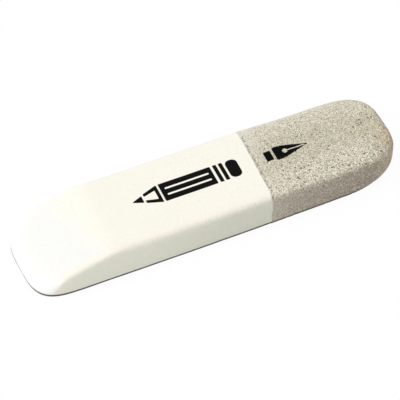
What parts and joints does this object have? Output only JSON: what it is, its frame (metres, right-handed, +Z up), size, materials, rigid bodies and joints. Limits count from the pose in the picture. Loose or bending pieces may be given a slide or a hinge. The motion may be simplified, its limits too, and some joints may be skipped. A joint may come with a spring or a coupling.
{
  "type": "rubber eraser",
  "caption": "Flat bar-shaped rubber eraser, smooth white with a bevelled end, bonded to a gritty grey block with a blunt round nose.",
  "frame": {"origin": "under the middle of the eraser, on its underside", "axes": "+X along the eraser towards the grey round nose, +Z up from the underside, +Y across it"},
  "size_m": [0.061, 0.0148, 0.0065],
  "materials": {
    "white_rubber": "smooth matt cream-white rubber with a fine chalky surface",
    "grey_gritty_rubber": "matt beige-grey rubber, gritty and pitted, with light and dark grains"
  },
  "bodies": {
    "root": {"white_pencil_block": "white_rubber", "grey_ink_block": "grey_gritty_rubber"}
  },
  "joints": []
}
